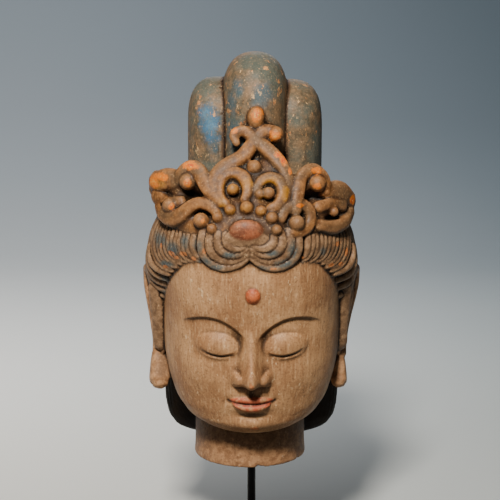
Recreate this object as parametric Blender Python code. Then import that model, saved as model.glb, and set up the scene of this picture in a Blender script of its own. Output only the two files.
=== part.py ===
"""Carved wooden head of a bodhisattva figure on a round steel rod with a foot plate.

Metres, +Z up, the origin under the middle of the foot plate. The face looks along -Y.
The head is one block of wood. Its carving is laid out in parts of the head's own height,
by functions and loops, joined into one skin, and cut flat at the neck for the rod's socket.
"""
import math

import bmesh
import bpy
import numpy as np
from mathutils import Matrix, Vector

# Stand
FOOT_SIDE = 0.220
FOOT_THICKNESS = 0.015
FOOT_EDGE_RADIUS = 0.002
ROD_DIAMETER = 0.010
ROD_FREE_LENGTH = 0.115
ROD_EDGE = 0.0008
ROD_SIDES = 32
SOCKET_DEPTH = 0.110
FOOT_HOLE_DEPTH = 0.010
FIT_GAP = 0.0003

# Head, from the neck's cut to the top of the topknot
HEAD_HEIGHT = 0.488
PART = HEAD_HEIGHT / 488.0
NECK_Z = FOOT_THICKNESS + ROD_FREE_LENGTH
VOXEL = 2.4
KEPT_SHARE = 0.043

# The face's own frame, in parts: its middle, and how far the head looks down
FACE_MIDDLE = (0.0, 2.0, 160.0)
NOD = math.radians(6.0)

# Face, in parts from the face's middle: hairline at +100, chin at -100, in three equal thirds
BROW_Z = 33.0
EYE_Z = 10.0
NOSE_Z = -33.0
MOUTH_Z = -56.0
EYE_WIDTH = 40.0
MOUTH_HALF = 26.0

# Skin and hair outlines: height, half width, front, back; how square the skin's plan is
SKIN_SQUARE = 0.88
SKIN = [(-106, 18, -78, -35), (-102, 42, -92, -12), (-92, 68, -104, 15), (-76, 86, -109, 42),
        (-55, 96, -111, 62), (-33, 102, -112, 80), (0, 105, -112, 94), (33, 105, -115, 100),
        (66, 105, -117, 100), (100, 104, -114, 92), (118, 102, -109, 86), (134, 88, -95, 75)]
HAIR = [(12, 58, 14, 66), (18, 82, 8, 78), (30, 97, 0, 86), (46, 103, -8, 92), (64, 105, -16, 97),
        (90, 106, -28, 102), (130, 109, -42, 110), (180, 116, -66, 118), (205, 122, -81, 119),
        (225, 125, -95, 118), (246, 125, -117, 116), (262, 122, -119, 111), (285, 115, -124, 101),
        (305, 102, -115, 86), (322, 76, -90, 62), (334, 34, -50, 24)]
HAIR_ROUND = 122.0

# Front hair on each side: strands of the swag, then first, middle and last of the locks and of the curls,
# each by its start's and its end's way round the hair and height
PARTING = -2.0
SWAG_STRANDS = 4
LOCK_COUNT = 6
LOCK_ROW = [(76, 306, 58, 263), (109, 303, 82, 259), (149, 296, 98, 246)]
LEFT_CURL_COUNT = 5
RIGHT_CURL_COUNT = 4
CURL_ROW = [(152, 264, 103, 240), (144, 218, 116, 205)]

# Ears: down from the top, half distance of the front edge on the left and on the right
EAR_TOP = 229.0
EAR_LINE = [(0, 118, 118), (36, 113, 112), (60, 110, 107), (86, 108, 104), (104, 108, 103), (148, 108, 103)]

# Crown: height, front at the middle; half width and middle of its plan
CROWN_FRONT = [(280, -127), (300, -124), (315, -118), (340, -106), (370, -85), (400, -67), (430, -62)]
CROWN_HALF = 128.0
CROWN_MIDDLE_Y = 10.0
BAND_DEPTH = 0.85

# Crown's lower and upper edges: place across, height. Its hollows: place across, height, spreads, depth
CROWN_LOW = [(-122, 333), (-109, 314), (-92, 300), (-40, 294), (70, 294), (93, 290), (108, 291), (122, 313)]
CROWN_TOP = [(-122, 337), (-118, 347), (-97, 356), (-60, 363), (-44, 356), (-22, 373), (4, 395), (27, 380),
             (46, 358), (68, 363), (86, 347), (108, 332), (122, 317)]
CROWN_HOLLOWS = [(-68, 335, 10, 7, 22), (72, 333, 12, 7, 22), (-20, 341, 9, 8, 10), (20, 338, 9, 8, 10),
                 (4, 375, 9, 8, 9), (-15, 396, 5, 5, 9), (51, 307, 11, 10, 9), (93, 307, 7, 4, 11),
                 (-56, 315, 10, 6, 10), (-100, 333, 10, 3, 6), (88, 327, 8, 3, 6)]


def through(points, column, at):
    """Smooth curve through one column of an outline, read at the heights given."""
    table = np.array(points, float)
    heights, values = table[:, 0], table[:, column]
    slopes = np.gradient(values, heights)
    at = np.clip(at, heights[0], heights[-1])
    i = np.clip(np.searchsorted(heights, at) - 1, 0, len(heights) - 2)
    step = heights[i + 1] - heights[i]
    t = (at - heights[i]) / step
    rise = values[i + 1] - values[i]
    start, end = slopes[i] * step, slopes[i + 1] * step
    return values[i] + t * start + t * t * (3 * rise - 2 * start - end) + t ** 3 * (start + end - 2 * rise)


def hump(x, z, middle_x, middle_z, spread_x, spread_z):
    """Round swelling of height 1."""
    return np.exp(-((x - middle_x) / spread_x) ** 2 - ((z - middle_z) / spread_z) ** 2)


def step_up(value, low, high):
    """0 below low, 1 above high, smooth between."""
    t = np.clip((value - low) / (high - low), 0.0, 1.0)
    return t * t * (3 - 2 * t)


def arc_share(value):
    """1 in the middle, falling to 0 at -1 and 1 along a half circle."""
    return np.sqrt(np.clip(1 - value ** 2, 0.0, 1.0))


def squared(value, power):
    """Sine or cosine that makes a circle squarer, the more so the smaller the power."""
    return np.sign(value) * np.abs(value) ** power


def nose_relief(side, z):
    """Nose: a ridge that grows to its tip, two wings and a square underside with nostrils."""
    ridge = [(NOSE_Z, 17), (-28, 23.5), (-22, 24.5), (-12, 19.5), (0, 13.5), (12, 8.5), (24, 4.5),
             (36, 1.5), (46, 0)]
    width = [(NOSE_Z, 11), (-24, 12), (-12, 10), (4, 8.5), (20, 8), (34, 9)]
    bridge = through(ridge, 1, z) * np.exp(-(side / through(width, 1, z)) ** 2.3)
    wings = 12.5 * np.exp(-np.abs((side - 13.5) / 8) ** 3 - np.abs((z + 25) / 8.5) ** 3)
    under = step_up(z, NOSE_Z - 3.5, NOSE_Z + 1)
    nostrils = -5 * hump(side, z, 8, NOSE_Z - 0.5, 4, 2.5)
    return (np.maximum(bridge, wings) + nostrils) * under + 4 * hump(side, z, 0, -8, 26, 30)


def eye_relief(side, z):
    """Eye: a hollow under the brow, a full upper lid looking down, a slit and a lower rim."""
    across = (side - EYE_WIDTH) / (EYE_WIDTH / 2)
    window = arc_share(across / 1.05)
    slit = EYE_Z - 6 + 4 * across ** 2 + 1.5 * across
    lid = 7 * np.clip(1 - (across / 1.3) ** 2 - ((z - EYE_Z - 3) / 16) ** 2, 0, 1) ** 0.6
    gap = step_up(z, slit - 4.6, slit - 3.4) * (1 - step_up(z, slit - 0.8, slit + 0.4))
    peak = BROW_Z + 14
    brow = np.where(side < 48, peak - 21 * ((48 - side) / 38) ** 2, peak - 11 * ((side - 48) / 32) ** 2)
    below_brow = 1 - step_up(z, brow - 2.0, brow + 0.6)
    span = step_up(side, 4, 16) * (1 - step_up(side, 66, 84))
    hollow = -4.0 * below_brow * span * np.exp(-(np.minimum(z - brow, 0) / 26) ** 2)
    return hollow + lid - 3.4 * window * gap - 3 * hump(side, z, 16, 18, 9, 12)


def mouth_relief(side, z):
    """Mouth: two full lips that meet in a line with raised corners, and the groove above."""
    across = side / MOUTH_HALF
    line = MOUTH_Z + 2 * across ** 2
    open_share = arc_share(across)
    upper_height = 9.0 * open_share - 1.4 * np.exp(-(side / 3.2) ** 2) + 0.01
    lower_height = 11.0 * arc_share(across / 0.88) + 0.01
    up = np.clip((z - line) / upper_height, 0, 1)
    down = np.clip((line - z) / lower_height, 0, 1)
    lips = 4.6 * (4 * up * (1 - up)) ** 0.6 + 6.2 * (4 * down * (1 - down)) ** 0.6
    part_line = -2.6 * np.exp(-((z - line) / 1.6) ** 2) * (np.abs(across) < 1.1)
    corners = -1.6 * hump(side, z, MOUTH_HALF + 1, MOUTH_Z + 2, 5, 5)
    groove = -1.8 * np.exp(-(side / 3.4) ** 2) * step_up(z, MOUTH_Z + 8, MOUTH_Z + 12)
    groove = groove * (1 - step_up(z, NOSE_Z - 4, NOSE_Z))
    swell = 5 * hump(side, z, 0, MOUTH_Z, 32, 20)
    return lips * open_share ** 0.8 + part_line + corners + groove + swell


def face_relief(x, z):
    """How far the face stands out from the plain head form, in parts."""
    side = np.abs(x)
    chin = 7 * hump(side, z, 0, -86, 22, 13) - 3.5 * hump(side, z, 0, -72, 22, 5)
    cheek = 6 * hump(side, z, 58, -20, 28, 30)
    return nose_relief(side, z) + eye_relief(side, z) + mouth_relief(side, z) + chin + cheek


def skin_form(around, rings):
    """Rings of the bare head, in the face's frame, with the face carved in front."""
    turn = np.linspace(-1, 1, around, endpoint=False)
    angle = math.pi * turn * (0.5 + 0.5 * np.abs(turn))
    z = np.linspace(SKIN[0][0], SKIN[-1][0], rings)[:, None]
    half, front, back = (through(SKIN, column, z) for column in (1, 2, 3))
    x = half * squared(np.sin(angle), SKIN_SQUARE)
    y = (front + back) / 2 + (front - back) / 2 * squared(np.cos(angle), SKIN_SQUARE)
    z = z + 0 * x
    y = y - face_relief(x, z) * step_up(np.cos(angle), 0.0, 0.35)
    return face_to_head(np.stack([x, y, z], axis=-1))


def face_to_head(points):
    """Points of the face's frame, nodded forward and set in the head."""
    x, y, z = np.moveaxis(np.asarray(points, float), -1, 0)
    nodded = [x, y * math.cos(NOD) - z * math.sin(NOD), y * math.sin(NOD) + z * math.cos(NOD)]
    return np.stack(nodded, axis=-1) + FACE_MIDDLE


def hair_point(run, z, lift=0.0):
    """Point on the hair: run is the way round from the front's middle, lift stands out of it."""
    run, z = np.broadcast_arrays(np.asarray(run, float), np.asarray(z, float))
    half, front, back = (through(HAIR, column, z) for column in (1, 2, 3))
    angle = run / HAIR_ROUND
    x = (half + lift) * np.sin(angle)
    y = (front + back) / 2 - ((back - front) / 2 + lift) * np.cos(angle)
    return np.stack([x, y, z], axis=-1)


def hair_form(around, rings, flutes, depth):
    """Rings of the hair, combed up in shallow flutes at the sides and the back."""
    run = np.linspace(-math.pi, math.pi, around, endpoint=False) * HAIR_ROUND
    z = np.linspace(HAIR[0][0], HAIR[-1][0], rings)[:, None]
    combed = np.abs(np.sin(run / HAIR_ROUND * flutes / 2 + z / 60)) * step_up(np.abs(run), 120, 170)
    return hair_point(run, z, depth * combed)


def crown_point(x, z, out=0.0):
    """Point on the crown's front, with out standing forward of it."""
    x, z = np.broadcast_arrays(np.asarray(x, float), np.asarray(z, float))
    front = through(CROWN_FRONT, 1, z)
    share = arc_share(x / CROWN_HALF)
    y = CROWN_MIDDLE_Y - (CROWN_MIDDLE_Y - front) * share
    normal = crown_normal(x, z)
    return np.stack([x, y, z], axis=-1) + normal * out


def crown_normal(x, z):
    """Direction straight out of the crown's front."""
    slope_z = (through(CROWN_FRONT, 1, z + 2) - through(CROWN_FRONT, 1, z - 2)) / 4
    share = np.maximum(arc_share(x / CROWN_HALF), 0.25)
    front = CROWN_MIDDLE_Y - through(CROWN_FRONT, 1, z)
    slope_x = front * x / (CROWN_HALF ** 2 * share)
    normal = np.stack([slope_x, -np.ones_like(slope_x), slope_z * share], axis=-1)
    return normal / np.linalg.norm(normal, axis=-1, keepdims=True)


def spline(points, count):
    """Evenly read smooth curve through a few chosen points."""
    points = np.array(points, float)
    table = np.column_stack([np.arange(len(points)), points])
    at = np.linspace(0, len(points) - 1, count)
    return np.stack([through(table, column, at) for column in range(1, table.shape[1])], axis=-1)


def skin_rings(bm, rings):
    """Closed skin over rings of points, with a flat face at each end."""
    loops = [[bm.verts.new(point) for point in ring] for ring in rings]
    for low, high in zip(loops, loops[1:]):
        for i in range(len(low)):
            j = (i + 1) % len(low)
            bm.faces.new((low[i], low[j], high[j], high[i]))
    bm.faces.new(loops[0][::-1])
    bm.faces.new(loops[-1])


def ball(bm, middle, radii, turn=None, detail=3):
    """Round or oval mass."""
    turn = turn or Matrix.Identity(4)
    place = Matrix.Translation(Vector(middle)) @ turn @ Matrix.Diagonal((*radii, 1.0))
    bmesh.ops.create_icosphere(bm, subdivisions=detail, radius=1.0, matrix=place)


def tube(bm, path, radii, normals, depth=1.0, sides=10):
    """Round-ended band along a path: its width lies across the normals, its depth along them."""
    path = np.asarray(path, float)
    count = len(path)
    radii = np.broadcast_to(np.asarray(radii, float), (count,)).copy()
    normals = np.broadcast_to(np.asarray(normals, float), (count, 3))
    along = np.gradient(path, axis=0)
    along /= np.linalg.norm(along, axis=1, keepdims=True) + 1e-9
    across = np.cross(along, normals)
    across /= np.linalg.norm(across, axis=1, keepdims=True) + 1e-9
    out = np.cross(across, along)
    ends = ((0, -1.0, -0.85), (0, -0.7, -0.45), *((i, 0.0, 0.0) for i in range(count)),
            (count - 1, 0.7, 0.45), (count - 1, 1.0, 0.85))
    rings = []
    for i, reach, shrink in ends:
        middle = path[i] + along[i] * reach * radii[i]
        radius = radii[i] * math.sqrt(1 - min(1.0, abs(reach)) ** 2 + 0.02) if reach else radii[i]
        ring = []
        for side in range(sides):
            angle = 2 * math.pi * side / sides
            ring.append(middle + radius * (math.cos(angle) * across[i] + depth * math.sin(angle) * out[i]))
        rings.append(ring)
    skin_rings(bm, rings)


def crown_band(bm, points, radii, out=0.0):
    """Band laid on the crown along chosen points of x and height."""
    flat = spline(points, 26)
    path = crown_point(flat[:, 0], flat[:, 1], out)
    radii = spline([(r,) for r in radii], len(flat))[:, 0]
    tube(bm, path, radii, crown_normal(flat[:, 0], flat[:, 1]), BAND_DEPTH)


def crown_arc(bm, middle, radius, from_deg, to_deg, thick, out=0.5, shrink=0.0):
    """Round or spiral band on the crown; shrink is how much of the radius it loses on its way."""
    share = np.linspace(0, 1, 24)
    angle = np.radians(from_deg + (to_deg - from_deg) * share)
    reach = radius * (1 - shrink * share)
    x, z = middle[0] + reach * np.cos(angle), middle[1] + reach * np.sin(angle)
    radii = spline([(r,) for r in thick], len(share))[:, 0]
    tube(bm, crown_point(x, z, out), radii, crown_normal(x, z), BAND_DEPTH)


def crown_bead(bm, x, z, radius, out=2.0, tall=1.0):
    """Round bead on the crown."""
    ball(bm, crown_point(x, z, out), (radius, radius, radius * tall))


def forehead_mark(bm):
    """Round mark above and between the brows."""
    ball(bm, (1.5, -119.5, 224), (8.5, 8.0, 9.5))


def neck_form(bm):
    """Round neck, from below its cut up into the head."""
    angle = np.linspace(0, 2 * math.pi, 64, endpoint=False)
    x, y = np.cos(angle), np.sin(angle)
    outline = ((68.0, -10.0), (67.0, 4.0), (66.0, 40.0), (64.0, 100.0))
    skin_rings(bm, [np.stack([-2 + r * x, 2 + r * y, z + 0 * angle], axis=-1) for r, z in outline])


def ear(bm, side):
    """Long ear, lying against the hair with its back edge turned out a little, and a heavy lobe."""
    back = Vector((side * 0.3, 0.954, 0.0))
    out = Vector((side * 0.954, -0.3, 0.0))
    column, lobe_radii = (1, (8.5, 10.5, 12.5, 11.5)) if side < 0 else (2, (4.5, 7.5, 9.5, 10.0))

    def place(depth, drop, lift=0.0):
        root_x = float(through(EAR_LINE, column, drop))
        root = Vector((side * root_x, -8 - drop / 15, EAR_TOP - drop))
        return root + back * depth + out * lift

    def rim(points, radii, lift, depth=1.0):
        flat = spline(points, 20)
        radii = spline([(r,) for r in radii], 20)[:, 0]
        tube(bm, [place(u, v, lift) for u, v in flat], radii, out, depth)

    turn = Matrix((back, out, Vector((0, 0, 1)))).transposed().to_4x4()
    ball(bm, place(9, 56, -4), (23, 7, 52), turn)
    rim([(2, 56), (0, 28), (6, 7), (19, 1), (30, 10), (34, 34), (29, 62), (21, 88), (16, 106)],
        (3.5, 5.2, 5.5, 5.5, 5.5, 5.5, 5.2, 5.2, 6.5), 1)
    rim([(14, 20), (22, 38), (19, 62), (11, 76)], (3.0, 4.2, 4.2, 3.5), 1)
    rim([(14, 104), (13, 116), (12, 134), (11, 137)], lobe_radii, 0)


def sideburn(bm, side):
    """Flat strip of hair in front of the ear, down to the lobe."""
    line = [(113, -30, 214), (112, -26, 190), (111, -20, 165), (111, -14, 142), (110, -11, 136)]
    across = 3 if side > 0 else 0
    path = spline([(side * (x - across), y, z) for x, y, z in line], 16)
    tube(bm, path, np.linspace(9.5, 7.0, 16), (side * 0.5, -0.866, 0.0), 0.75)


def lock(bm, run, z, width, tip, lift, strands=1):
    """Lock of hair along a path on the hair, narrower at its tip, of strands lying side by side."""
    path = hair_point(run, z, lift)
    outward = hair_point(run, z, lift + 5) - path
    outward /= np.linalg.norm(outward, axis=1, keepdims=True)
    along = np.gradient(path, axis=0)
    across = np.cross(along / np.linalg.norm(along, axis=1, keepdims=True), outward)
    radii = width + (tip - width) * step_up(np.linspace(0, 1, len(path)), 0.35, 1.0)
    strand_radii = radii * (1.15 / strands if strands > 1 else 1.0)
    for i in range(strands):
        offset = radii * (2 * i + 1 - strands) / strands
        tube(bm, path + across * offset[:, None], strand_radii, outward, 0.85)


def falling_lock(bm, side, ends, width, tip, lift, bulge=0.0, strands=1):
    """Lock that falls from its start and turns in towards the face: a quarter of an ellipse."""
    start_run, start_z, end_run, end_z = ends
    quarter = np.linspace(0, math.pi / 2, 18)
    run = start_run + (end_run - start_run) * (1 - np.cos(quarter)) + bulge * np.sin(2 * quarter)
    z = start_z + (end_z - start_z) * np.sin(quarter)
    lock(bm, side * run, z, width, tip, lift, strands)


def swag(bm, side):
    """Nested strands that sag in an arc over the brow and meet at the parting."""
    turn = np.radians(np.linspace(165, 320, 22))
    for i in range(SWAG_STRANDS):
        outer, inner, sag = 59.0 - 9.8 * i, 2.5, 34.0 - 6.8 * i
        reach = (outer - inner) / (1 + np.cos(turn[-1]))
        run = PARTING + side * (outer - reach - reach * np.cos(turn))
        lock(bm, run, 290 + i + sag * np.sin(turn), 5.4, 3.4, 3.2 - 0.7 * i)


def hair_locks(bm, strands=1):
    """Front hair: swags that meet over the brow, falling locks, temple curls and sideburns."""
    for side, curls, bulge in ((-1, LEFT_CURL_COUNT, 4.0), (1, RIGHT_CURL_COUNT, 0.0)):
        swag(bm, side)
        for ends in spline(LOCK_ROW, LOCK_COUNT):
            falling_lock(bm, side, ends, 7.0, 3.6, 1.8, bulge, strands)
        for ends in spline(CURL_ROW, curls):
            falling_lock(bm, side, ends, 5.8, 3.8, 2.4)
        sideburn(bm, side)


def crown_floor(x, z):
    """How far the crown's ground lies behind its scrolls, with a hollow in each scroll."""
    deep = sum(depth * hump(x, z, *place) for *place, depth in CROWN_HOLLOWS)
    return 1.0 - deep


def crown_ground(bm):
    """Body of the crown behind its scrolls, the combed rise of hair behind that, and the ribbon."""
    across = np.linspace(-120, 120, 100)
    share = np.linspace(0, 1, 34)
    rings = []
    for x in across:
        low, high = float(through(CROWN_LOW, 1, x)), float(through(CROWN_TOP, 1, x))
        z = low + (high - low) * share
        front = crown_point(x, z) + crown_normal(x + 0 * z, z) * crown_floor(x, z)[:, None]
        thick = 30 - 14 * share[::4]
        back = crown_point(x, z[::4]) - crown_normal(x + 0 * thick, z[::4]) * thick[:, None]
        rings.append(np.concatenate([front, back[::-1]]))
    skin_rings(bm, rings)
    ball(bm, (2, 12, 312), (92, 78, 50), detail=5)
    run = (math.pi + np.linspace(-0.56, 0.56, 40) * math.pi) * HAIR_ROUND
    tube(bm, hair_point(run, 300.0, 1.0), 4.5, (0, 0, 1), 2.0)


def crown_arch(bm):
    """Pointed arch of two arms that cross over and curl outwards, with a bud over them."""
    crown_band(bm, [(-44, 338), (-44, 350), (-32, 365), (-10, 377), (4, 394), (15, 403), (26, 401)],
               (8, 8.5, 8.5, 9, 8, 8.5, 9.5))
    crown_band(bm, [(27, 321), (39, 335), (41, 354), (27, 375), (6, 393), (-9, 404), (-20, 400), (-17, 391)],
               (4.5, 5.5, 7, 9, 8, 7, 6, 4.5), 0.5)
    crown_bead(bm, 27, 400, 9.5)
    crown_bead(bm, 5, 419, 9.8, -1, 1.35)
    crown_bead(bm, 3, 366, 8, 1)


def crown_eyes(bm):
    """The two round spirals in the arch, each with a bead in its middle."""
    crown_arc(bm, (-20, 343), 18, 240, -42, (5.5, 7, 7.2, 7.2, 4.5), shrink=0.15)
    crown_arc(bm, (19.5, 340), 13.5, 185, -82, (4, 6, 7.2, 7, 5.5), shrink=-0.25)
    crown_bead(bm, -21, 343, 6.8, 0.5)
    crown_bead(bm, 19, 339, 7, 1.5)
    crown_bead(bm, 9, 338.5, 5.5, 1)


def crown_jewel(bm):
    """Oval jewel over the parting, and the row of beads that arches over it."""
    ball(bm, crown_point(-6, 299.5, 0.5), (18.5, 7, 12.5))
    for degrees, radius in ((0, 6), (32, 6.6), (59, 6), (86, 7.4), (116, 6), (147, 5.8), (179, 5.6)):
        angle = math.radians(degrees)
        crown_bead(bm, -8 + 36 * math.cos(angle), 300 + 24 * math.sin(angle), radius)


def crown_hooks(bm):
    """Tall hooks at both sides of the arch, each curled outwards over a bead and a hollow."""
    crown_band(bm, [(-34, 328), (-50, 342), (-57, 357), (-68, 363), (-78, 356), (-80, 349)],
               (5.5, 7.5, 9.5, 9, 8, 6.5), 1.5)
    crown_bead(bm, -72, 348, 10, 1.5)
    crown_band(bm, [(49, 319), (52, 338), (56, 354), (70, 361), (83, 350), (85, 336)],
               (7, 7.5, 7.5, 7, 6, 4), 1.5)
    crown_bead(bm, 74, 346, 10, 1.5)


def crown_sides(bm):
    """Leaves and ringed bosses that close the crown towards the ears."""
    crown_band(bm, [(-104, 319), (-98, 309), (-85, 307), (-63, 325), (-48, 325), (-38, 316)],
               (8, 9.5, 9.5, 7.5, 6.5, 5), 1)
    crown_bead(bm, -56, 308, 8.8, 3)
    crown_arc(bm, (51, 310), 17, 175, -110, (5, 7, 7, 6.5, 5), shrink=0.15)
    crown_bead(bm, 50, 306, 9, 3)
    crown_band(bm, [(-113, 342), (-97, 348), (-82, 350)], (12, 14, 10), -4)
    crown_band(bm, [(-110, 327), (-97, 320), (-82, 326)], (9.5, 10, 7), -2)
    crown_bead(bm, -91, 320, 8.5, 4)
    crown_band(bm, [(86, 338), (102, 334), (115, 320)], (9, 13, 12), -4)
    crown_band(bm, [(76, 301), (92, 296), (106, 299), (113, 309)], (7, 8, 8.5, 8))
    crown_band(bm, [(76, 321), (91, 322), (104, 318)], (7, 6.5, 8))
    crown_bead(bm, 92, 313, 5.8, 3)


def crown_scrolls(bm):
    """Everything that stands out of the crown's ground. Points are x and height in parts."""
    crown_arch(bm)
    crown_eyes(bm)
    crown_jewel(bm)
    crown_hooks(bm)
    crown_sides(bm)


def topknot(bm):
    """Three smooth upright lobes of gathered hair, the middle one taller and in front."""
    root = 120
    lobes = ((4, 8, 392, 40, 70, 96), (-41, 22, 380, 35, 56, 77), (47, 22, 380, 37, 56, 74))
    upright = -np.cos(np.linspace(0.06, math.pi - 0.06, 40))
    share = (1 - np.abs(upright) ** 4.4) ** (1 / 2.2)
    angle = np.linspace(0, 2 * math.pi, 64, endpoint=False)
    plan_x = squared(np.cos(angle), 0.85)
    plan_y = squared(np.sin(angle), 0.85)
    for x, y, z, half, deep, tall in lobes:
        height = z + upright * np.where(upright > 0, tall, root)
        skin_rings(bm, [np.stack([x + half * s * plan_x, y + deep * s * plan_y, h + 0 * angle], axis=-1)
                        for h, s in zip(height, share)])


def plain_material(name, color, roughness, metallic=0.0):
    """Plain material."""
    material = bpy.data.materials.new(name)
    material.use_nodes = True
    shader = material.node_tree.nodes["Principled BSDF"]
    shader.inputs["Base Color"].default_value = (*color, 1.0)
    shader.inputs["Roughness"].default_value = roughness
    shader.inputs["Metallic"].default_value = metallic
    return material


def new_object(name, bm, material=None):
    """Object with the bmesh's shape, its faces shaded smooth."""
    mesh = bpy.data.meshes.new(name)
    bm.to_mesh(mesh)
    bm.free()
    mesh.shade_smooth()
    made = bpy.data.objects.new(name, mesh)
    bpy.context.scene.collection.objects.link(made)
    if material:
        mesh.materials.append(material)
    return made


def round_bar(name, radius, low, high):
    """Upright round bar on the axis."""
    bm = bmesh.new()
    place = Matrix.Translation((0, 0, (low + high) / 2))
    bmesh.ops.create_cone(bm, cap_ends=True, segments=ROD_SIDES, radius1=radius, radius2=radius,
                          depth=high - low, matrix=place)
    return new_object(name, bm)


def as_cutter(cutter):
    cutter.hide_render = True
    cutter.display_type = "WIRE"
    return cutter


def cut(target, cutter):
    boolean = target.modifiers.new("Cut " + cutter.name, "BOOLEAN")
    boolean.operation = "DIFFERENCE"
    boolean.solver = "EXACT"
    boolean.object = as_cutter(cutter)


def carved_head():
    bm = bmesh.new()
    skin_rings(bm, skin_form(200, 150))
    forehead_mark(bm)
    neck_form(bm)
    skin_rings(bm, hair_form(160, 90, 40, 3.0))
    for side in (-1, 1):
        ear(bm, side)
    hair_locks(bm)
    crown_ground(bm)
    crown_scrolls(bm)
    topknot(bm)
    bmesh.ops.scale(bm, vec=(PART, PART, PART), verts=bm.verts)
    head = new_object("carved_head", bm, plain_material("Painted wood", (0.30, 0.17, 0.09), 0.7))
    remesh = head.modifiers.new("One skin", "REMESH")
    remesh.mode = "VOXEL"
    remesh.voxel_size = VOXEL * PART
    soften = head.modifiers.new("Soften", "SMOOTH")
    soften.factor = 0.5
    soften.iterations = 1
    fewer = head.modifiers.new("Fewer faces", "DECIMATE")
    fewer.ratio = KEPT_SHARE
    head.location.z = NECK_Z
    return head


def cut_neck(head):
    """Flat cut under the neck, and the blind socket that takes the rod."""
    below = 0.05
    bm = bmesh.new()
    size = Matrix.Diagonal((0.4, 0.4, below, 1.0))
    bmesh.ops.create_cube(bm, size=1.0, matrix=Matrix.Translation((0, 0, NECK_Z - below / 2)) @ size)
    cut(head, new_object("neck_cutter", bm))
    radius = ROD_DIAMETER / 2 + FIT_GAP
    cut(head, round_bar("socket_cutter", radius, NECK_Z - below, NECK_Z + SOCKET_DEPTH + FIT_GAP))


def stand():
    """Rod, standing in a blind hole of the square foot plate."""
    steel = plain_material("Black steel", (0.012, 0.012, 0.013), 0.45, 0.8)
    hole_floor = FOOT_THICKNESS - FOOT_HOLE_DEPTH
    rod = round_bar("rod", ROD_DIAMETER / 2, hole_floor + FIT_GAP, NECK_Z + SOCKET_DEPTH)
    rod.data.materials.append(steel)
    soften_edges(rod, ROD_EDGE)
    bm = bmesh.new()
    size = Matrix.Diagonal((FOOT_SIDE, FOOT_SIDE, FOOT_THICKNESS, 1.0))
    bmesh.ops.create_cube(bm, size=1.0, matrix=Matrix.Translation((0, 0, FOOT_THICKNESS / 2)) @ size)
    plate = new_object("foot_plate", bm, steel)
    soften_edges(plate, FOOT_EDGE_RADIUS)
    radius = ROD_DIAMETER / 2 + FIT_GAP
    cut(plate, round_bar("hole_cutter", radius, hole_floor, FOOT_THICKNESS * 2))


def soften_edges(piece, width):
    bevel = piece.modifiers.new("Soft edges", "BEVEL")
    bevel.width = width
    bevel.segments = 3
    bevel.limit_method = "ANGLE"


def main():
    for old in list(bpy.data.objects):
        bpy.data.objects.remove(old, do_unlink=True)
    head = carved_head()
    cut_neck(head)
    stand()


main()
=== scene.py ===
"""Looks of the carved wooden head: its fine carving, worn paint and wood, the steel stand, light and camera.

The frame is in metres. The head's carving is laid out in parts of its own height, as in the part's source.
"""
import math

import bmesh
import bpy
import numpy as np
from mathutils import Matrix, Vector
from mathutils.bvhtree import BVHTree


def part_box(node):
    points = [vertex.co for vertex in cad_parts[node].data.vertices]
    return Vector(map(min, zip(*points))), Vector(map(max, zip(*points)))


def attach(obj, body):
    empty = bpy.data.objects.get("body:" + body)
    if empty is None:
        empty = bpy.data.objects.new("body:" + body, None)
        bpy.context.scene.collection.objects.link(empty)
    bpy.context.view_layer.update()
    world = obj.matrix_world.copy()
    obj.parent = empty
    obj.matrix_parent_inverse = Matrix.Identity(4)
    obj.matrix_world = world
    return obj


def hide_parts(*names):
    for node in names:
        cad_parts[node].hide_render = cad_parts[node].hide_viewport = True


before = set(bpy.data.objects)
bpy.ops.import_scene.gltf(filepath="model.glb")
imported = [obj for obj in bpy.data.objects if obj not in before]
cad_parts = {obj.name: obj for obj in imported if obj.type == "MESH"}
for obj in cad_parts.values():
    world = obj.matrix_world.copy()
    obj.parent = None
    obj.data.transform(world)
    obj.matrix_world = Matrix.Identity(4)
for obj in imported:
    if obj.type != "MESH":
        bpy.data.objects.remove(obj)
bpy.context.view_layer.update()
HEAD_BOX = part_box("carved_head")

# How many parts the head is high, and from the frame the height of the neck's cut and the size of one part
HEAD_PARTS = 487.7
NECK_Z = HEAD_BOX[0].z
PART = (HEAD_BOX[1].z - NECK_Z) / HEAD_PARTS

# Fine skin, in parts: its step, and how deep seams, the rim's chips and the topknot's losses are cut
VOXEL = 1.3
SEAM_DEPTH = 0.5
RIM_CHIP = 2.2
KNOT_CHIP = 0.35

# Rounds of softening the grooves, triangles kept, how square a band is, metres kept inside the head's box
GROOVE_ROUNDS = 8
FACES_KEPT = 190000
BAND_SQUARE = 0.74
BOX_INSET = 0.0001

# Wear and painted shade at three scales: rounds of smoothing, height in parts that counts in full, weight
WEAR_AND_SHADE_SCALES = ((6, 0.24, 0.35), (30, 1.0, 0.45), (110, 3.0, 0.45))

# Turns a place into a number that looks random
SCATTER = (127.1, 311.7, 74.7)
SCATTER_SCALE = 43758.5453
SEED_SHIFT = 17.3

# The face's own frame, in parts: its middle, and how far the head looks down
FACE_MIDDLE = (0.0, 2.0, 160.0)
NOD = math.radians(6.0)

# Face, in parts from the face's middle: hairline at +100, chin at -100, in three equal thirds
BROW_Z = 33.0
EYE_Z = 10.0
NOSE_Z = -33.0
MOUTH_Z = -56.0
EYE_WIDTH = 40.0
MOUTH_HALF = 26.0
UPPER_LIP = 9.0
LOWER_LIP = 11.0
LOWER_LIP_SHARE = 0.88

# Middle of the round mark above the brows, in the head's parts
FOREHEAD_MARK = (1.5, -119.5, 224)

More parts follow.
